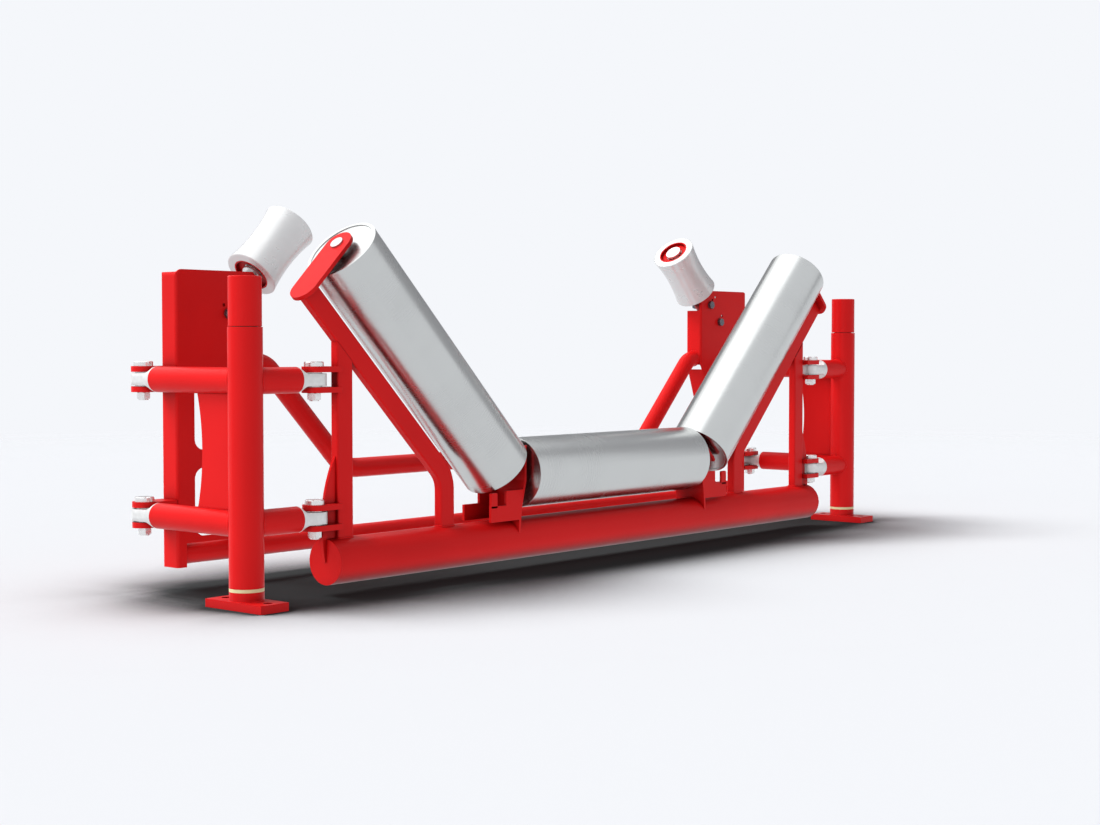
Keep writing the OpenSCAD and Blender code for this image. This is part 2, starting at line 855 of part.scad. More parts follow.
module column(side) {
    color(red) on_side(side) difference() {
        union() {
            difference() {
                channel();
                across_column() waist_line(0, waist_z);
            }
            waist_flange();
        }
        for (z = [window_z, window_z + window_h + window_bar])
            translate([column_face - window_side - window_w / 2, rear_reach, z + window_h / 2])
                rotate([90, 0, 0]) linear_extrude(column_depth)
                    rounded(window_w, window_h, window_r);
        // Beside the corner, the lower tube passes under the web
        translate([column_in - eps, column_y - eps, column_bottom - eps])
            cube([column_w - corner_w + eps, column_depth + 2 * eps,
                web_foot - column_bottom + eps]);
        translate([column_in - eps, column_y + 2 * column_t, flange_top])
            cube([2 * column_t, column_depth, column_top - flange_top]);
        // The shoulder is cut square to the guide roller
        on_guide() translate([-column_w, -column_depth, -guide_gap])
            cube([2 * column_w, 2 * column_depth, guide_len]);
        corner_cut();
        for (s = [bolt_first, bolt_first + bolt_pitch]) on_guide()
            translate([0, 0, -s]) rotate([90, 0, 0])
                cylinder(d = bolt_d + 2 * seat_fit, h = column_depth);
        for (p = spare_holes) on_guide() translate([p[0], 0, -p[1]]) rotate([90, 0, 0])
            cylinder(d = spare_d, h = column_depth);
    }
}

// Rounds the top outer corner of the column.
module corner_cut() {
    translate([column_face - column_r, column_y - eps, column_top - column_r])
        rotate([-90, 0, 0]) difference() {
            translate([0, -column_r - eps, 0])
                cube([column_r + eps, column_r + eps, column_depth + 2 * eps]);
            cylinder(r = column_r, h = column_depth + 2 * eps);
        }
}

module rear_clevises() { color(red) both() at_rear_pivots() clevis(lug_reach); }

// Block on the back of the column that carries the guide roller shaft.
module guide_brackets() {
    foot_y = column_y + column_t;
    block_w = 2 * (rear_reach - foot_y);
    h = bolt_pitch + 2 * block_end;
    color(red) both() on_guide() translate([0, 0, -bolt_first - bolt_pitch - block_end])
        difference() {
            union() {
                translate([-block_w / 2, foot_y - rear_reach, 0]) cube([block_w,
                    rear_reach - foot_y, h]);
                cylinder(d = block_w, h = h);
            }
            translate([0, 0, -eps]) cylinder(d = guide_shaft_d + 2 * seat_fit, h = h + 2 * eps);
            for (s = [block_end, block_end + bolt_pitch]) translate([0, 0, s])
                rotate([90, 0, 0]) translate([0, 0, -block_w])
                    cylinder(d = bolt_d + 2 * seat_fit, h = 2 * block_w);
        }
}

module guide_bolts() {
    head = 0.65 * bolt_d;
    across = 1.5 * bolt_d / cos(30);
    back = 0.9 * guide_shaft_d;
    color(zinc) both() for (s = [bolt_first, bolt_first + bolt_pitch]) on_guide()
        translate([0, 0, -s]) rotate([90, 0, 0]) {
            translate([0, 0, rear_reach - column_y]) cylinder(d = across, h = head, $fn = 6);
            translate([0, 0, -back - 1.3 * head])
                cylinder(d = bolt_d, h = rear_reach - column_y + back + 1.3 * head);
            translate([0, 0, -back - head]) cylinder(d = across, h = head, $fn = 6);
        }
}

module guide_shafts() {
    tail = bolt_first + bolt_pitch + block_end + 6;
    color(steel) both() on_guide() difference() {
        translate([0, 0, -tail]) cylinder(d = guide_shaft_d, h = tail + guide_len - cap_t);
        for (s = [bolt_first, bolt_first + bolt_pitch]) translate([0, 0, -s])
            rotate([90, 0, 0]) translate([0, 0, -guide_shaft_d])
                cylinder(d = bolt_d + 2 * seat_fit, h = 2 * guide_shaft_d);
    }
}

// Round caps on the shaft that close the recesses of the guide rollers.
module guide_caps() {
    color(zinc) both() on_guide() {
        translate([0, 0, guide_len - cap_t]) cylinder(d = guide_cap_d, h = cap_t);
        ring(guide_cap_d, guide_shaft_d + 2 * seat_fit, cap_t);
    }
}

// ---- guide rollers

module guide_sleeve(side) {
    hollow = (guide_d - guide_waist_d) / 2;
    hollow_r = (guide_len * guide_len / 4 + hollow * hollow) / (2 * hollow);
    edge = 5;
    color(white) on_side(side) on_guide() rotate_extrude() difference() {
        union() {
            translate([guide_bore_r, 0]) square([guide_d / 2 - guide_bore_r - edge, guide_len]);
            translate([guide_bore_r, edge])
                square([guide_d / 2 - guide_bore_r, guide_len - 2 * edge]);
            for (z = [edge, guide_len - edge]) translate([guide_d / 2 - edge, z]) circle(edge);
        }
        translate([guide_waist_d / 2 + hollow_r, guide_len / 2]) circle(hollow_r, $fn = 720);
    }
}

// Steel core: a tube with a recessed disc and a bearing housing at each end.
module guide_core(side) {
    wall = 4;
    seat = guide_bearing_d + 2 * seat_fit;
    color(red) on_side(side) on_guide() {
        ring(guide_bore_d - 2 * seat_fit, guide_bore_d - 2 * wall, guide_len);
        for (top = [0, 1]) translate([0, 0, top * guide_len]) mirror([0, 0, top])
            translate([0, 0, cap_t + 2]) {
                ring(guide_bore_d - wall, seat, wall);
                ring(seat + 2 * wall, seat, guide_bearing_w + wall);
            }
    }
}

module guide_bearings(side) {
    color(steel) on_side(side) on_guide()
        for (z = [cap_t + 4, guide_len - cap_t - 4 - guide_bearing_w])
            translate([0, 0, z])
                bearing(guide_bearing_d, guide_shaft_d + 2 * run_fit, guide_bearing_w);
}

foot_plates();
post_stubs();
thrust_rings();
spindles();
spindle_caps();
sleeve(-1);  // left_sleeve
bushes(-1);  // left_bushes
front_arms(-1);  // left_front_arms
rear_arms(-1);  // left_rear_arms
web(-1);  // left_web
front_yokes(-1);  // left_front_yokes
rear_yokes(-1);  // left_rear_yokes
sleeve(1);  // right_sleeve
bushes(1);  // right_bushes
front_arms(1);  // right_front_arms
rear_arms(1);  // right_rear_arms
web(1);  // right_web
front_yokes(1);  // right_front_yokes
rear_yokes(1);  // right_rear_yokes
cross_tube();
cross_tube_discs();
uprights();
wing_support(-1);  // left_wing_support
wing_support(1);  // right_wing_support
shaft_plates();
front_clevises();
centre_bracket(-1);  // left_centre_bracket
centre_bracket(1);  // right_centre_bracket
front_pivot_bolts();
front_pivot_nuts();
roller_shaft(-1);  // left_roller_shaft
roller_shaft(0);  // centre_roller_shaft
roller_shaft(1);  // right_roller_shaft
roller_shell(-1);  // left_roller_shell
roller_ends(-1);  // left_roller_ends
roller_bearings(-1);  // left_roller_bearings
roller_shell(0);  // centre_roller_shell
roller_ends(0);  // centre_roller_ends
roller_bearings(0);  // centre_roller_bearings
roller_shell(1);  // right_roller_shell
roller_ends(1);  // right_roller_ends
roller_bearings(1);  // right_roller_bearings
column(-1);  // left_column
column(1);  // right_column
lower_tube();
trough_tube();
rear_clevises();
guide_brackets();
guide_bolts();
guide_shafts();
guide_caps();
rear_pivot_bolts();
rear_pivot_nuts();
guide_sleeve(-1);  // left_guide_sleeve
guide_core(-1);  // left_guide_core
guide_bearings(-1);  // left_guide_bearings
guide_sleeve(1);  // right_guide_sleeve
guide_core(1);  // right_guide_core
guide_bearings(1);  // right_guide_bearings
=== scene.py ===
import json
import math

import bpy
import numpy as np
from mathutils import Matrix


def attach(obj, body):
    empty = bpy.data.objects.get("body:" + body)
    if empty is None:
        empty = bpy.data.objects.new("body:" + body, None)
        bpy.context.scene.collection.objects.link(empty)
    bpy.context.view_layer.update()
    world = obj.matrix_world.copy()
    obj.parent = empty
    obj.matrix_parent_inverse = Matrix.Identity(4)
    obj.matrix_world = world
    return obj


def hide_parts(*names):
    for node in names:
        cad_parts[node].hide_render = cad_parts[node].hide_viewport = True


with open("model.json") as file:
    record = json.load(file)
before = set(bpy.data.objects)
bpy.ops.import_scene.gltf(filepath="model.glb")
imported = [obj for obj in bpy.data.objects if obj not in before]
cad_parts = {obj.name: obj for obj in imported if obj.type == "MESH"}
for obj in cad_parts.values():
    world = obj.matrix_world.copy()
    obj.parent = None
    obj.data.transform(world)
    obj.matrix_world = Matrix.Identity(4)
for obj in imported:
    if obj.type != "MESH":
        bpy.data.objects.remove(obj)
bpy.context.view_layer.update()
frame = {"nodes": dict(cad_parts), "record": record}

nodes = frame["nodes"]
scene = bpy.context.scene
mm = 0.001


class Value:
    # A number on a node's socket, with the usual arithmetic
    def __init__(self, graph, socket):
        self.graph = graph
        self.socket = socket

    def maths(self, operation, *others):
        values = {i: other for i, other in enumerate(others)}
        return self.graph.node("ShaderNodeMath", {"operation": operation}, values)

    def __add__(self, other): return self.maths("ADD", self, other)
    def __radd__(self, other): return self.maths("ADD", other, self)
    def __sub__(self, other): return self.maths("SUBTRACT", self, other)
    def __rsub__(self, other): return self.maths("SUBTRACT", other, self)
    def __mul__(self, other): return self.maths("MULTIPLY", self, other)
    def __rmul__(self, other): return self.maths("MULTIPLY", other, self)
    def __pow__(self, other): return self.maths("POWER", self, other)
    def __rpow__(self, other): return self.maths("POWER", other, self)

    def clamp(self, low=0.0, high=1.0):
        return self.maths("MINIMUM", self.maths("MAXIMUM", self, low), high)

    def step(self, low, high):
        # 0 below low, 1 above high, and smooth between them
        settings = {"interpolation_type": "SMOOTHSTEP"}
        return self.graph.node("ShaderNodeMapRange", settings,
                               {"Value": self, "From Min": low, "From Max": high})


class Graph:
    # A node tree of a material or of the world
    def __init__(self, tree):
        self.tree = tree

    def node(self, kind, settings=None, inputs=None, output=0):
        made = self.tree.nodes.new(kind)
        for key, setting in (settings or {}).items():
            setattr(made, key, setting)
        for key, given in (inputs or {}).items():
            if isinstance(given, Value):
                self.tree.links.new(given.socket, made.inputs[key])
            else:
                made.inputs[key].default_value = given
        return Value(self, made.outputs[output])

    def noise(self, scale, detail=2.0, rough=0.5, vector=None):
        return self.node("ShaderNodeTexNoise", None,
                         {"Vector": vector or self.place, "Scale": scale,
                          "Detail": detail, "Roughness": rough})

    def blend(self, mask, low, high):
        # Mixes two colours by a mask
        return self.node("ShaderNodeMix", {"data_type": "RGBA"},
                         {0: mask, 6: low, 7: high}, output=2)

    def parts(self, vector):
        # The three numbers of a vector
        split = self.tree.nodes.new("ShaderNodeSeparateXYZ")
        self.tree.links.new(vector.socket, split.inputs[0])
        return [Value(self, split.outputs[i]) for i in range(3)]


class Paint(Graph):
    # One material: its nodes, and a Principled shader to feed
    def __init__(self, name):
        self.material = bpy.data.materials.new(name)
        self.material.use_nodes = True
        super().__init__(self.material.node_tree)
        self.shader = self.tree.nodes["Principled BSDF"]
        self.place = self.node("ShaderNodeTexCoord", output="Object")

    def feed(self, **inputs):
        for key, given in inputs.items():
            name = key.replace("_", " ")
            if isinstance(given, Value):
                self.tree.links.new(given.socket, self.shader.inputs[name])
            else:
                self.shader.inputs[name].default_value = given
        return self.material

    def turned(self, place, turn):
        # Coordinates with their middle at a place, turned to lie along a piece
        return self.node("ShaderNodeMapping", {"vector_type": "TEXTURE"},
                         {"Vector": self.place, "Location": place, "Rotation": turn})

    def together(self, x, y, z):
        return self.node("ShaderNodeCombineXYZ", None, {"X": x, "Y": y, "Z": z})

    def bump(self, height, look, normal):
        return self.node("ShaderNodeBump", None,
                         {"Height": height, "Distance": look["bumpDepth"],
                          "Strength": look["bumpStrength"], "Normal": normal})

    def worn(self, radius):
        # Rounded edges: the softened normal, and how far it leaves the true one
        soft = self.node("ShaderNodeBevel", {"samples": 6}, {"Radius": radius})
        flat = self.node("ShaderNodeNewGeometry", output="Normal")
        along = self.node("ShaderNodeVectorMath", {"operation": "DOT_PRODUCT"},
                          {0: soft, 1: flat}, output="Value")
        return soft, (1 - along).clamp()


def rgb(*values):
    return (*values, 1.0)


enamel = {
    "colour": rgb(0.70, 0.0095, 0.0100),
    "shade": rgb(0.64, 0.0085, 0.0090),
    "thin": rgb(0.78, 0.018, 0.018),
    # corner: painted shade, the dark red painted into corners, creases and undersides
    "corner": rgb(0.20, 0.0, 0.0006),
    "paintedShadeReach": 100 * mm,
    "paintedShadeRange": (0.20, 0.85),
    "roughness": 0.36,
    "roughDust": 0.08,
    "edgeRadius": 1.2 * mm,
    "cloudScale": 3.2,
    "peelScale": 360.0,
    "dustScale": 34.0,
    "bumpDepth": 0.015 * mm,
    "bumpStrength": 0.2,
}


def makeEnamel(look):
    # Sprayed enamel: orange peel, faint clouds, thin edges, dust that roughens it,
    #     # and painted shade: darker red wherever ambient occlusion finds other surfaces near
    paint = Paint("redEnamel")
    cloud = paint.noise(look["cloudScale"], 2.0)
    peel = paint.noise(look["peelScale"], 1.0)
    dust = paint.noise(look["dustScale"], 4.0, 0.62)
    edgeNormal, edge = paint.worn(look["edgeRadius"])
    colour = paint.blend(cloud.step(0.35, 0.7), look["colour"], look["shade"])
    colour = paint.blend(edge.step(0.02, 0.30) * 0.5, colour, look["thin"])
    # Painted shade: ambient occlusion within the reach takes the colour to the dark corner red
    clear = paint.node("ShaderNodeAmbientOcclusion", {"samples": 8},
                      {"Distance": look["paintedShadeReach"]}, output="AO")
    colour = paint.blend(clear.step(*look["paintedShadeRange"]), look["corner"], colour)
    roughness = look["roughness"] + dust.step(0.45, 0.85) * look["roughDust"]
    return paint.feed(Base_Color=colour, Roughness=roughness.clamp(),
                      Normal=paint.bump(peel, look, edgeNormal),
                      Coat_Weight=0.02, Coat_Roughness=0.15,
                      Specular_IOR_Level=0.08)


shellSteel = {
    "colour": rgb(0.59, 0.60, 0.59),
    "dull": rgb(0.49, 0.50, 0.49),
    "edge": rgb(0.70, 0.70, 0.69),
    "roughness": 0.22,
    "edgeRadius": 1.5 * mm,
    "lineScale": 1100.0,
    "smearScale": 5.0,
    "speckScale": 240.0,
    "bumpDepth": 0.04 * mm,
    "bumpStrength": 0.15,
}


def makeShellSteel(name, place, turn, look):
    # Turned steel: fine rings about the axis, which is X of the turned coordinates,
    # so they follow X on the shell and the distance from the axis on the end discs
    paint = Paint(name)
    x, y, z = paint.parts(paint.turned(place, turn))
    reach = (y * y + z * z) ** 0.5
    scale = look["lineScale"]
    lines = paint.noise(1.0, 3.0, 0.6, paint.together(x * scale, reach * scale, 0.0))
    smear = paint.noise(look["smearScale"], 3.0, 0.55)
    speck = paint.noise(look["speckScale"], 2.0, 0.6)
    edgeNormal, edge = paint.worn(look["edgeRadius"])
    colour = paint.blend(smear.step(0.40, 0.8) * 0.35, look["colour"], look["dull"])
    colour = paint.blend(lines.step(0.45, 0.75) * 0.15, colour, look["dull"])
    colour = paint.blend(edge.step(0.03, 0.4) * 0.5, colour, look["edge"])
    roughness = look["roughness"] + smear.step(0.4, 0.8) * 0.06 + lines * 0.06
    height = lines * 0.6 + speck * 0.2
    return paint.feed(Base_Color=colour, Metallic=1.0, Roughness=roughness.clamp(),
                      Normal=paint.bump(height, look, edgeNormal))


castZinc = {
    "colour": rgb(0.78, 0.78, 0.77),
    "pit": rgb(0.55, 0.55, 0.54),
    "edge": rgb(0.86, 0.86, 0.85),
    "roughness": 0.38,
    "edgeRadius": 2.2 * mm,
    "grainScale": 260.0,
    "spangleScale": 90.0,
    "cloudScale": 24.0,
    "bumpDepth": 0.25 * mm,
    "bumpStrength": 0.4,
}


def makeCastZinc(look):
    # Galvanised casting: sand texture, soft spangle, brighter edges
    paint = Paint("castZinc")
    grain = paint.noise(look["grainScale"], 4.0, 0.6)
    spangle = paint.node("ShaderNodeTexVoronoi", None,
                         {"Vector": paint.place, "Scale": look["spangleScale"]})
    cloud = paint.noise(look["cloudScale"], 3.0)
    edgeNormal, edge = paint.worn(look["edgeRadius"])
    colour = paint.blend(spangle.step(0.1, 0.8) * 0.25, look["colour"], look["pit"])
    colour = paint.blend(edge.step(0.03, 0.5) * 0.6, colour, look["edge"])
    roughness = look["roughness"] + cloud.step(0.4, 0.8) * 0.15
    return paint.feed(Base_Color=colour, Metallic=0.35, Roughness=roughness.clamp(),
                      Normal=paint.bump(grain, look, edgeNormal))


boltZinc = {
    "colour": rgb(0.82, 0.82, 0.81),
    "worn": rgb(0.60, 0.60, 0.59),
    "edge": rgb(0.92, 0.92, 0.91),
    "roughness": 0.22,
    "edgeRadius": 1.0 * mm,
    "fogScale": 70.0,
    "scratchScale": 500.0,
    "bumpDepth": 0.06 * mm,
    "bumpStrength": 0.35,
}
darkBolt = {
    **boltZinc,
    "colour": rgb(0.13, 0.14, 0.16),
    "worn": rgb(0.22, 0.22, 0.23),
    "edge": rgb(0.75, 0.75, 0.76),
    "roughness": 0.25,
}


def makeBolt(name, look):
    # Plated fasteners, rubbed at the corners by the spanner
    paint = Paint(name)
    fog = paint.noise(look["fogScale"], 4.0, 0.6)
    scratch = paint.noise(look["scratchScale"], 2.0, 0.7)
    edgeNormal, edge = paint.worn(look["edgeRadius"])
    colour = paint.blend(fog.step(0.4, 0.75) * 0.35, look["colour"], look["worn"])
    colour = paint.blend(edge.step(0.03, 0.4) * 0.7, colour, look["edge"])
    roughness = look["roughness"] + fog.step(0.35, 0.8) * 0.16
    return paint.feed(Base_Color=colour, Metallic=0.8, Roughness=roughness.clamp(),
                      Normal=paint.bump(scratch, look, edgeNormal))


turnedSteel = {
    "colour": rgb(0.62, 0.62, 0.61),
    "oiled": rgb(0.42, 0.42, 0.41),
    "edge": rgb(0.8, 0.8, 0.79),
    "roughness": 0.28,
    "edgeRadius": 1.0 * mm,
    "filmScale": 30.0,
    "toolScale": 700.0,
    "bumpDepth": 0.04 * mm,
    "bumpStrength": 0.35,
}
greasedSteel = {
    **turnedSteel,
    "colour": rgb(0.10, 0.09, 0.08),
    "oiled": rgb(0.05, 0.045, 0.04),
    "edge": rgb(0.30, 0.30, 0.29),
    "roughness": 0.40,
}


def makeTurnedSteel(name, look):
    # Ground shafts and bearings, with a film of oil in places
    paint = Paint(name)
    film = paint.noise(look["filmScale"], 4.0, 0.6)
    tool = paint.noise(look["toolScale"], 1.0)
    edgeNormal, edge = paint.worn(look["edgeRadius"])
    colour = paint.blend(film.step(0.4, 0.7) * 0.5, look["colour"], look["oiled"])
    colour = paint.blend(edge.step(0.03, 0.4) * 0.5, colour, look["edge"])
    roughness = look["roughness"] + film.step(0.3, 0.8) * 0.15
    return paint.feed(Base_Color=colour, Metallic=0.95, Roughness=roughness.clamp(),
                      Normal=paint.bump(tool, look, edgeNormal))


bushPlastic = {
    "colour": rgb(0.78, 0.66, 0.36),
    "dirt": rgb(0.62, 0.50, 0.28),
    "roughness": 0.45,
    "edgeRadius": 1.0 * mm,
    "cloudScale": 60.0,
    "grainScale": 500.0,
    "bumpDepth": 0.08 * mm,
    "bumpStrength": 0.4,
}


def makeBushPlastic(look):
    # Natural cast nylon: slightly cloudy, a little dirt
    paint = Paint("bushPlastic")
    cloud = paint.noise(look["cloudScale"], 3.0)
    grain = paint.noise(look["grainScale"], 2.0)
    edgeNormal, edge = paint.worn(look["edgeRadius"])
    colour = paint.blend(cloud.step(0.4, 0.8) * 0.4 + edge * 0.1, look["colour"],
                         look["dirt"])
    roughness = look["roughness"] + cloud * 0.1
    return paint.feed(Base_Color=colour, Roughness=roughness.clamp(),
                      Normal=paint.bump(grain, look, edgeNormal),
                      Subsurface_Weight=0.08)


guidePolymer = {
    "colour": rgb(0.71, 0.715, 0.71),
    "rub": rgb(0.60, 0.60, 0.595),
    "edge": rgb(0.80, 0.80, 0.80),
    "roughness": 0.26,
    "edgeRadius": 1.5 * mm,
    "cloudScale": 14.0,
    "waveScale": 160.0,
    "bumpDepth": 0.03 * mm,
    "bumpStrength": 0.2,
}


def makeGuidePolymer(look):
    # Cast polyurethane tyre: glossy, with soft rub marks round the waist
    paint = Paint("guidePolymer")
    cloud = paint.noise(look["cloudScale"], 3.0)
    wave = paint.noise(look["waveScale"], 2.0)
    edgeNormal, edge = paint.worn(look["edgeRadius"])
    colour = paint.blend(cloud.step(0.42, 0.75) * 0.3, look["colour"], look["rub"])
    colour = paint.blend(edge.step(0.05, 0.4) * 0.4, colour, look["edge"])
    roughness = look["roughness"] + cloud.step(0.35, 0.75) * 0.10
    return paint.feed(Base_Color=colour, Metallic=0.35, Roughness=roughness.clamp(),
                      Normal=paint.bump(wave, look, edgeNormal),
                      Coat_Weight=0.2, Coat_Roughness=0.1)


redEnamel = makeEnamel(enamel)
zincBolt = makeBolt("zincBolt", boltZinc)
greasedShaft = makeTurnedSteel("greasedSteel", greasedSteel)
blackBolt = makeBolt("blackBolt", darkBolt)
nodeFinish = {"guide_bolts": blackBolt, "spindles": greasedShaft}
slotFinish = {
    "red_paint": redEnamel,
    "cast_zinc": makeCastZinc(castZinc),
    "bolt_zinc": zincBolt,
    "turned_steel": makeTurnedSteel("turnedSteel", turnedSteel),
    "bush_plastic": makeBushPlastic(bushPlastic),
    "guide_polymer": makeGuidePolymer(guidePolymer),
}
rollerPlace = {
    "left_roller": ((-478 * mm, 0, 288 * mm), math.radians(45)),
    "centre_roller": ((0, 0, 267 * mm), 0.0),
    "right_roller": ((478 * mm, 0, 288 * mm), math.radians(-45)),
}
rollerFinish = {name: makeShellSteel(name + "Steel", place, (0, turn, 0), shellSteel)
                for name, (place, turn) in rollerPlace.items()}


def finishOf(node, slot):
    # A roller's shell and end discs share the steel turned about its own axis
    for name, finish in rollerFinish.items():
        if slot == "roller_steel" and node.startswith(name):
            return finish
    return nodeFinish.get(node, slotFinish[slot])


for part in frame["record"]["subparts"]:
    mesh = nodes[part["node"]].data
    mesh.materials.clear()
    mesh.materials.append(finishOf(part["node"], part["material_slot"]))
print("materials on", len(nodes), "nodes")


def makePiece(name, grids, finish, body, ring=False):
    # Joins grids of points, each closed round its second side, into one mesh. A ring
    # also closes on its own first row, and any other grid has a fan over each end.
    points, faces, first = [], [], 0
    for grid in grids:
        rows, spokes = grid.shape[:2]
        i = np.arange(rows if ring else rows - 1)[:, None]
        j = np.arange(spokes)[None, :]
        k = (j + 1) % spokes
        here, onward = first + i * spokes, first + (i + 1) % rows * spokes
        faces += np.stack([here + j, here + k, onward + k, onward + j], -1) \
            .reshape(-1, 4).tolist()
        points.append(grid.reshape(-1, 3))
        tip = first + rows * spokes
        if not ring:
            last = tip - spokes
            faces += np.stack([0 * j[0] + tip, first + k[0], first + j[0]], -1).tolist()
            faces += np.stack([0 * j[0] + tip + 1, last + j[0], last + k[0]], -1).tolist()
            points.append([grid[0].mean(0), grid[-1].mean(0)])
        first = tip if ring else tip + 2
    mesh = bpy.data.meshes.new(name)
    mesh.from_pydata(np.vstack(points).tolist(), [], faces)
    mesh.validate()
    mesh.polygons.foreach_set("use_smooth", [True] * len(mesh.polygons))
    mesh.set_sharp_from_angle(angle=math.radians(34))
    mesh.materials.append(finish)
    piece = bpy.data.objects.new(name, mesh)
    scene.collection.objects.link(piece)
    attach(piece, body)
    return piece


# Weld beads: a small circle carried along the joint between two pieces
bead = {
    "radius": 3.0 * mm,
    "ripple": 0.10,
    "pitch": 4.0 * mm,
    "sides": 8,
    "stride": 1.3 * mm,
}


def spaced(path, stride, closed):
    # The same line with its points a stride apart
    line = np.vstack([path, path[:1]]) if closed else path
    run = np.concatenate([[0], np.cumsum(np.linalg.norm(np.diff(line, axis=0), axis=1))])
    count = max(8, int(run[-1] / stride))
    at = np.linspace(0, run[-1], count + (0 if closed else 1), endpoint=not closed)
    return np.stack([np.interp(at, run, line[:, i]) for i in range(3)], -1), at


def beadGrid(path, across, look, closed=True):
    # Point = path + r (cos b n + sin b m), where n and m are square to the path, and
    # r = radius (1 + ripple |sin(pi s / pitch)|) at distance s along it
    line, at = spaced(np.asarray(path, float), look["stride"], closed)
    if closed:
        along = np.roll(line, -1, 0) - np.roll(line, 1, 0)
    else:
        along = np.gradient(line, axis=0)
    along /= np.linalg.norm(along, axis=1, keepdims=True)
    n = np.cross(along, across)
    n /= np.linalg.norm(n, axis=1, keepdims=True)
    m = np.cross(along, n)
    r = look["radius"] * (1 + look["ripple"] * np.abs(np.sin(np.pi * at / look["pitch"])))
    b = np.linspace(0, 2 * np.pi, look["sides"], endpoint=False)
    return line[:, None] + r[:, None, None] * (np.cos(b)[None, :, None] * n[:, None]
                                               + np.sin(b)[None, :, None] * m[:, None])


def armSeam(side, z, out, tubeR, postR, postX):
    # Where an arm of radius a meets the sleeve of radius R: across = a cos t,
    # up = a sin t, out = sqrt(R^2 - across^2)
    t = np.linspace(0, 2 * np.pi, 240, endpoint=False)
    across, up = tubeR * np.cos(t), tubeR * np.sin(t)
    reach = np.sqrt(postR ** 2 - across ** 2)
    if out == "front":
        return np.stack([side * (postX - reach), across, z + up], -1), (1, 0, 0)
    return np.stack([side * postX + across, reach, z + up], -1), (0, 1, 0)


def barSeam(x, wide, thick, corner, beamR, beamZ):
    # A rounded rectangle let down on the cross tube: z = beamZ + sqrt(R^2 - y^2)
    t = np.linspace(0, 2 * np.pi, 64, endpoint=False) + 1e-6
    px = x + np.sign(np.cos(t)) * (wide / 2 - corner) + corner * np.cos(t)
    py = np.sign(np.sin(t)) * (thick / 2 - corner) + corner * np.sin(t)
    flat = np.stack([px, py, 0 * t], -1)
    flat, _ = spaced(flat, 2 * mm, True)
    flat[:, 2] = beamZ + np.sqrt(beamR ** 2 - flat[:, 1] ** 2)
    return flat, (0, 0, 1)


def footSeam(side, s):
    # An ellipse about a post, drawn in at the sides, where its plate is narrow
    t = np.linspace(0, 2 * np.pi, 200, endpoint=False)
    x = side * s["postX"] + (s["sleeveR"] - s["footIn"]) * np.cos(t)
    return np.stack([x, s["sleeveR"] * np.sin(t), s["footTop"] + 0 * t], -1), (0, 0, 1)


def rimSeam(side, s):
    # The part of a circle about X where the trough tube meets its column. The tube's
    # lower edge hangs free below the flange, so the seam stops above it.
    t = np.radians(np.linspace(-20, 200, 120))
    y, z = s["rearY"] + s["tubeR"] * np.cos(t), s["rimZ"] + s["tubeR"] * np.sin(t)
    return np.stack([side * s["columnIn"] + 0 * t, y, z], -1), (1, 0, 0)


seams = {
    "postX": 1350 * mm, "sleeveR": 41.25 * mm, "armR": 31.75 * mm,
    "armZ": (198 * mm, 534 * mm), "footTop": 20 * mm, "footIn": 2.7 * mm,
    "beamR": 57.15 * mm, "beamZ": 86 * mm,
    "bars": (1044 * mm, 679 * mm), "bar": (52 * mm, 26 * mm, 5 * mm),
    "tubeR": 27 * mm, "columnIn": 992 * mm, "rimZ": 570 * mm, "rearY": 387 * mm,
}


def makeWelds(s, look):
    for side, name in ((-1, "left"), (1, "right")):
        grids = [beadGrid(*armSeam(side, z, out, s["armR"], s["sleeveR"], s["postX"]), look)
                 for z in s["armZ"] for out in ("front", "rear")]
        makePiece(name + "ArmWelds", grids, redEnamel, name + "_crank",
                  ring=True)
    feet = [beadGrid(*footSeam(side, s), look) for side in (-1, 1)]
    makePiece("footWelds", feet, redEnamel, "stand", ring=True)
    bars = [beadGrid(*barSeam(side * x, *s["bar"], s["beamR"], s["beamZ"]), look)
            for side in (-1, 1) for x in s["bars"]]
    makePiece("barWelds", bars, redEnamel, "front_frame", ring=True)
    ends = [beadGrid(*rimSeam(side, s), look, False) for side in (-1, 1)]
    makePiece("tubeWelds", ends, redEnamel, "rear_frame")


makeWelds(seams, bead)
print("weld beads made")


# The raised rim at the outer end of the front cheeks of the centre brackets
cheekRim = {
    "x": (527 * mm, 553 * mm),
    "y": (-53 * mm, -45 * mm),
    "z": (180 * mm, 222 * mm),
    "corner": 4 * mm,
    "chamfer": 1 * mm,
}


def plateGrid(look, side):
    # A rounded rectangle in X and Z, corner = centre + r (cos t, sin t), carried along
    # Y, with its first and last rows drawn in by the chamfer
    t = np.linspace(0, 2 * np.pi, 64, endpoint=False) + 1e-6
    (x0, x1), (y0, y1), (z0, z1) = look["x"], look["y"], look["z"]
    r, edge = look["corner"], look["chamfer"]
    rows = [(y0, edge), (y0 + edge, 0.0), (y1 - edge, 0.0), (y1, edge)]
    y, inset = np.array(rows)[:, :1], np.array(rows)[:, 1:]
    cos, sin = np.cos(t)[None], np.sin(t)[None]
    x = (x0 + x1) / 2 + np.sign(cos) * ((x1 - x0) / 2 - r) + (r - inset) * cos
    z = (z0 + z1) / 2 + np.sign(sin) * ((z1 - z0) / 2 - r) + (r - inset) * sin
    grid = np.stack([side * x, y + 0 * x, z], -1)
    return grid if side < 0 else grid[:, ::-1]


rims = [plateGrid(cheekRim, side) for side in (-1, 1)]
makePiece("cheekRims", rims, redEnamel, "front_frame")
print("cheek rims made")


# Nuts with the round chamfer that a hexagon gets on the lathe
nuts = {
    "flats": 30 * mm, "height": 17 * mm, "drop": 49 * mm,
    "spokes": 96, "slope": 0.55, "face": 0.985,
    "frontX": 1136 * mm, "rearX": 1350 * mm, "rearY": 387 * mm,
    "z": (198 * mm, 534 * mm),
}


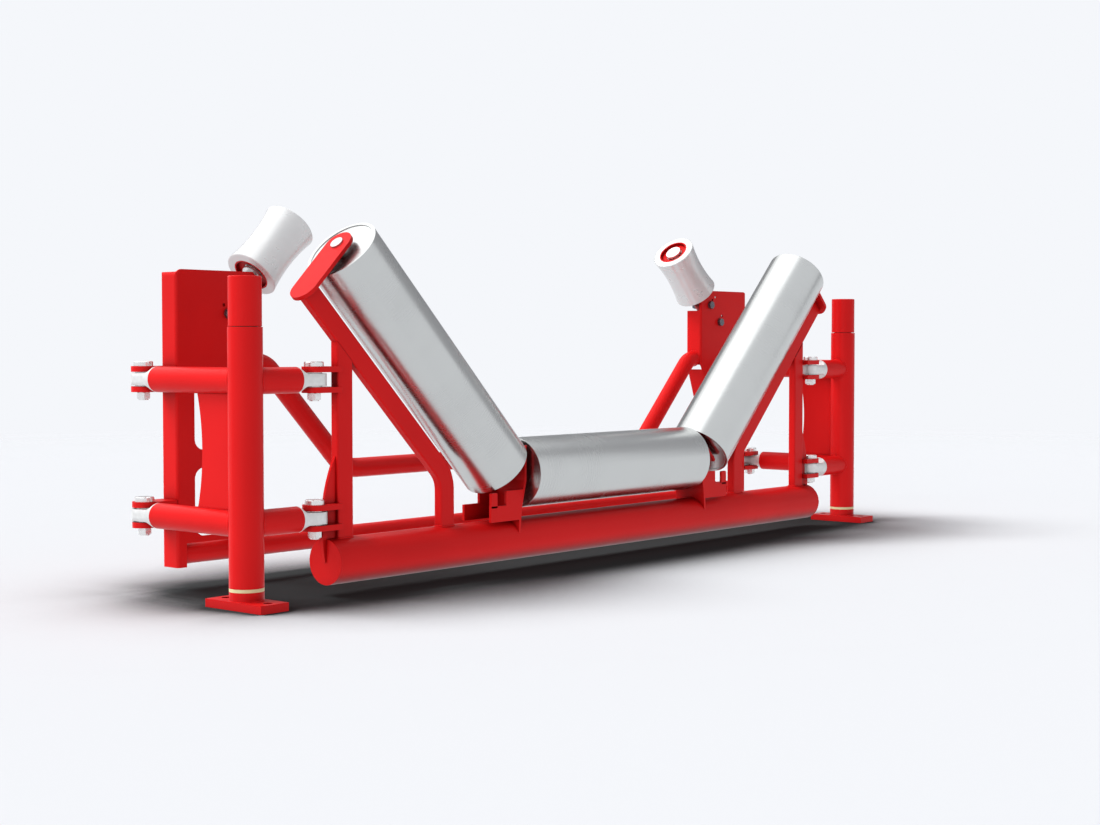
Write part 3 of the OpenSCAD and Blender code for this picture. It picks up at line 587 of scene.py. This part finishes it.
def hexGrid(look):
    # Radius = the smaller of the hexagon, half / cos(a - middle of its side), and a
    # cone that opens by 1 / slope from the round face at each end
    half, height, slope = look["flats"] / 2, look["height"], look["slope"]
    a = np.linspace(0, 2 * np.pi, look["spokes"], endpoint=False)
    sector = np.pi / 3
    hexagon = half / np.cos(a % sector - sector / 2)
    corner = half / math.cos(sector / 2) - half
    rise = np.linspace(0, corner * slope * 1.1, 6)
    z = np.concatenate([rise, height - rise[::-1]])
    away = np.minimum(z, height - z)
    cone = half * look["face"] + away / slope
    r = np.minimum(hexagon[None, :], cone[:, None])
    return np.stack([r * np.cos(a), r * np.sin(a), 0 * r + z[:, None]], -1)


def makeNuts(look):
    nut = hexGrid(look)
    for name, x, y, body in (("front", look["frontX"], 0, "front_frame"),
                             ("rear", look["rearX"], look["rearY"], "rear_frame")):
        grids = [nut + np.array([side * x, y, z - look["drop"]])
                 for side in (-1, 1) for z in look["z"]]
        piece = makePiece(name + "Nuts", grids, zincBolt, body)
        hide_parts(name + "_pivot_nuts")


makeNuts(nuts)
print("nuts made")


stageLook = {
    "backdrop": rgb(0.913, 0.930, 0.965),
    "floor": rgb(0.746, 0.756, 0.778),
    "radius": 9.0,
    "rings": 24,
    "spokes": 96,
    "below": 0.5 * mm,
    "fade": (5.0, 8.5),
    "fill": (0.86, 0.18),
    "rise": (0.22, 0.85),
    "shadowReach": 0.9,
    "shadowRange": (0.62, 0.97),
    "shadow": rgb(0.046, 0.052, 0.053),
}


def makeFloor(look):
    # A disc, r = radius * u and angle = 2 pi v, which fades out at its rim
    rings, spokes = look["rings"], look["spokes"]
    r = np.linspace(0.0, look["radius"], rings + 1)[1:, None]
    a = np.linspace(0.0, 2 * math.pi, spokes, endpoint=False)[None, :]
    points = np.stack([r * np.cos(a), r * np.sin(a), 0 * r * a], -1).reshape(-1, 3)
    points = np.vstack([points, [[0, 0, 0]]])
    i = np.arange(rings - 1)[:, None] * spokes
    j = np.arange(spokes)[None, :]
    k = (j + 1) % spokes
    quads = np.stack([i + j, i + spokes + j, i + spokes + k, i + k], -1).reshape(-1, 4)
    hub = np.stack([np.full(spokes, len(points) - 1), j[0], k[0]], -1)
    mesh = bpy.data.meshes.new("floor")
    mesh.from_pydata(points.tolist(), [], quads.tolist() + hub.tolist())
    floor = bpy.data.objects.new("floor", mesh)
    floor.location.z = -look["below"]
    # It only takes the shadow: its reflections and bounced light come from the world
    floor.visible_glossy = False
    floor.visible_diffuse = False
    scene.collection.objects.link(floor)
    paint = Paint("floorPaint")
    away = paint.node("ShaderNodeVectorMath", {"operation": "LENGTH"},
                      {0: paint.place}, output="Value")
    # Painted shadow: the floor colour goes to the dark shadow colour where ambient occlusion
    # finds the object near
    reach = paint.node("ShaderNodeAmbientOcclusion", {"samples": 64},
                      {"Distance": look["shadowReach"]}, output="AO")
    colour = paint.blend(reach.step(*look["shadowRange"]), look["shadow"], look["floor"])
    paint.feed(Base_Color=colour, Roughness=0.95, Specular_IOR_Level=0.0,
               Alpha=1 - away.step(*look["fade"]))
    mesh.materials.append(paint.material)


def makeWorld(look):
    # The camera, polished surfaces and glass see the pale backdrop at full strength.
    # Everything else takes it as fill light, which is weaker overhead.
    world = bpy.data.worlds.new("studio")
    scene.world = world
    world.use_nodes = True
    graph = Graph(world.node_tree)
    graph.tree.nodes.clear()
    rays = graph.tree.nodes.new("ShaderNodeLightPath")
    camera, glossy, clear = [Value(graph, rays.outputs[kind]) for kind in
                             ("Is Camera Ray", "Is Glossy Ray", "Is Transmission Ray")]
    seen = (camera + glossy + clear).clamp()
    height = graph.parts(graph.node("ShaderNodeTexCoord", output="Generated"))[2]
    level, overhead = look["fill"]
    fill = level + height.step(*look["rise"]) * (overhead - level)
    strength = fill + seen * (1 - fill)
    graph.tree.nodes.new("ShaderNodeOutputWorld")
    sky = graph.node("ShaderNodeBackground", None,
                     {"Color": look["backdrop"], "Strength": strength})
    graph.tree.links.new(sky.socket, graph.tree.nodes["World Output"].inputs["Surface"])


# A dark card beside the object, which only polished surfaces see
flag = {
    "from": -32,
    "to": 80,
    "columns": 40,
    "radius": 5.0,
    "low": 0.9,
    "high": 5.0,
    "colour": rgb(0.32, 0.32, 0.33),
}


def makeFlag(look):
    # Point = (radius cos a, radius sin a, z), for a from one end of the arc to the other
    columns = look["columns"]
    a = np.radians(np.linspace(look["from"], look["to"], columns))[:, None]
    z = np.array([look["low"], look["high"]])[None, :]
    x, y = look["radius"] * np.cos(a), look["radius"] * np.sin(a)
    points = np.stack([x + 0 * z, y + 0 * z, z + 0 * a], -1).reshape(-1, 3)
    i = np.arange(columns - 1)[:, None] * 2
    quads = np.concatenate([i, i + 1, i + 3, i + 2], 1)
    mesh = bpy.data.meshes.new("flag")
    mesh.from_pydata(points.tolist(), [], quads.tolist())
    card = bpy.data.objects.new("flag", mesh)
    scene.collection.objects.link(card)
    card.visible_camera = False
    card.visible_diffuse = False
    card.visible_shadow = False
    paint = Paint("flagCloth")
    mesh.materials.append(paint.feed(Base_Color=look["colour"], Roughness=1.0))


lamps = {
    "keyLamp": {"way": (-0.36, 0.45, 0.81), "power": 3.2, "angle": 32},
    "sideLamp": {"way": (-0.97, -0.20, 0.12), "power": 0.85, "angle": 60},
    "topBox": {"way": (0.0, 0.42, 0.91), "power": 185, "size": 7.6, "reach": 4.8},
}


def makeLamp(name, look):
    # Broad sun lamps light the surfaces, and the soft box is what polished surfaces
    # show of the first. Each shines from the given way.
    boxed = "size" in look
    data = bpy.data.lights.new(name, "AREA" if boxed else "SUN")
    data.energy = look["power"]
    lamp = bpy.data.objects.new(name, data)
    scene.collection.objects.link(lamp)
    x, y, z = look["way"]
    lamp.rotation_euler = (math.atan2(math.hypot(x, y), z), 0, math.atan2(x, -y))
    if boxed:
        data.size = look["size"]
        lamp.location = np.array(look["way"]) * look["reach"]
        lamp.visible_diffuse = False
    else:
        data.angle = math.radians(look["angle"])
        lamp.visible_glossy = False


view = {
    "place": (-4.0020, -3.1637, 0.6179),
    "heading": 49.885,
    "dip": -2.215,
    "lens": 57.06,
}


def makeCamera(look):
    data = bpy.data.cameras.new("camera")
    data.lens = look["lens"]
    data.sensor_width = 36.0
    camera = bpy.data.objects.new("camera", data)
    scene.collection.objects.link(camera)
    camera.location = look["place"]
    camera.rotation_euler = (math.radians(90 + look["dip"]), 0, math.radians(-look["heading"]))
    scene.camera = camera


makeFloor(stageLook)
makeWorld(stageLook)
makeFlag(flag)
for name, look in lamps.items():
    makeLamp(name, look)
makeCamera(view)
scene.view_settings.view_transform = "Standard"
print("stage, lamps and camera set")
